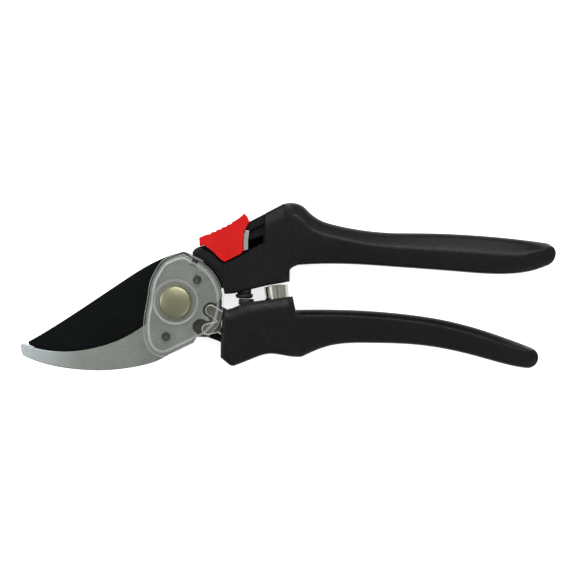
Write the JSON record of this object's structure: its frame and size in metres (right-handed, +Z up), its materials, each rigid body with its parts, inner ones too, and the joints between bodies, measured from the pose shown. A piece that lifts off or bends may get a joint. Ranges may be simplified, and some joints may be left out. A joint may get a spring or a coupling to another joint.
{
  "type": "pruner",
  "caption": "Geared bypass pruner: black convex blade, blunt steel hook, clear gear cover, red thumb lock and black moulded handles",
  "frame": {"origin": "on the main pivot axis, at the back face of the pivot nut, where the closed tool lies flat", "axes": "+X along the handles to their ends, +Y from the lower handle to the upper handle, +Z up through the pivot bolt to its head"},
  "size_m": [0.2132, 0.0668, 0.0158],
  "materials": {
    "blade_coating": "low-stick black coating, satin",
    "hook_steel": "satin ground steel",
    "bolt_metal": "olive-bronze plating, satin",
    "arm_steel": "dark bronze-brown pressed steel",
    "plain_steel": "zinc-plated steel",
    "spring_steel": "bright flat strip",
    "bush_bronze": "sintered bronze",
    "handle_plastic": "fine-grained black glass-filled nylon",
    "clear_plastic": "clear moulded polycarbonate",
    "peg_plastic": "grey moulded pegs",
    "red_plastic": "red moulded plastic",
    "black_rubber": "black rubber"
  },
  "bodies": {
    "blade_side": {"cutting_blade": "blade_coating", "upper_handle": "handle_plastic", "pivot_bolt": "bolt_metal", "pivot_bush": "bush_bronze", "wave_washer": "plain_steel", "pivot_washer": "plain_steel", "pivot_nut": "plain_steel", "arm_rivet": "plain_steel", "arm_rivet_washer": "plain_steel", "upper_bumper": "black_rubber", "return_spring": "spring_steel", "detent_spring": "spring_steel"},
    "hook_side": {"hook_jaw": "hook_steel", "gear_cover": "clear_plastic", "cover_pegs": "peg_plastic"},
    "grip_side": {"lower_handle": "handle_plastic", "gear_arm": "arm_steel", "lower_bumper": "black_rubber", "spring_seat": "handle_plastic"},
    "lock_slide": {"lock_button": "red_plastic", "lock_latch": "plain_steel", "latch_rivets": "plain_steel"}
  },
  "joints": [
    {"name": "handle_pivot", "type": "hinge", "parent": "blade_side", "child": "grip_side", "pos_m": [0.0223, -0.0088, 0.0095], "axis": [0, 0, -1], "range_deg": [0, 34], "deforming": ["return_spring"]},
    {"name": "hook_pivot", "type": "hinge", "parent": "blade_side", "child": "hook_side", "pos_m": [0, 0, 0.0095], "axis": [0, 0, 1], "range_deg": [0, 24.3]},
    {"name": "lock_slide_joint", "type": "slide", "parent": "blade_side", "child": "lock_slide", "axis": [0.891, 0.454, 0], "range_m": [0, 0.0065]}
  ],
  "couplings": [
    {"joint": "hook_pivot", "follows": "handle_pivot", "ratio": 0.71429}
  ]
}
